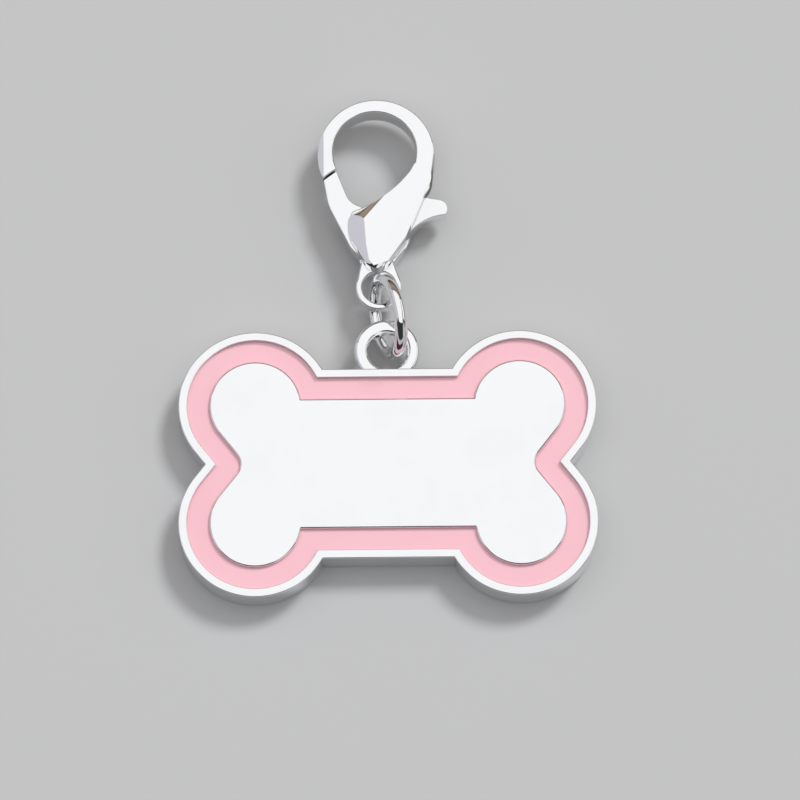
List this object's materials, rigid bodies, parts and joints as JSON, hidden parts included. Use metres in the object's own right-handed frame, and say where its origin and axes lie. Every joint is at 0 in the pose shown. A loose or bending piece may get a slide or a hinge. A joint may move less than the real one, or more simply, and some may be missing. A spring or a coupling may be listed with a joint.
{
  "type": "pet id tag",
  "caption": "Bone-shaped blank metal pet tag with a pink enamel border, hung by a jump ring from a sprung lobster clasp",
  "frame": {"origin": "middle of the plate's flat back, which lies on the table", "axes": "+X to the right across the bone, +Y from the bone towards the clasp, +Z out of the printed face, up from the table"},
  "size_m": [0.04, 0.0495, 0.0083],
  "materials": {
    "tag_plate": "polished and plated cast zinc",
    "enamel_border": "glossy light pink enamel",
    "jump_ring": "plated round wire",
    "clasp_body": "polished and plated cast zinc",
    "clasp_lever": "polished and plated cast zinc",
    "lever_pin": "drawn steel",
    "lever_spring": "spring wire"
  },
  "bodies": {
    "tag": {"tag_plate": "tag_plate", "enamel_border": "enamel_border"},
    "ring": {"jump_ring": "jump_ring"},
    "clasp": {"clasp_body": "clasp_body", "lever_pin": "lever_pin", "lever_spring": "lever_spring"},
    "lever": {"clasp_lever": "clasp_lever"}
  },
  "joints": [
    {"name": "ring_fold", "type": "hinge", "parent": "tag", "child": "ring", "pos_m": [0.0001, 0.01435, 0.00418], "axis": [0.9351, 0.2228, -0.2756], "range_deg": [0, 130]},
    {"name": "clasp_swing", "type": "hinge", "parent": "ring", "child": "clasp", "pos_m": [-0.00107, 0.01742, 0.0027], "axis": [0, 0, 1], "range_deg": [-25, 25]},
    {"name": "lever_pivot", "type": "hinge", "parent": "clasp", "child": "lever", "pos_m": [-0.00044, 0.0222, 0.0027], "axis": [0, 0, -1], "range_deg": [0, 28], "stiffness_Nm_per_rad": 0.01, "springref_deg": -11.46, "deforming": ["lever_spring"]}
  ]
}
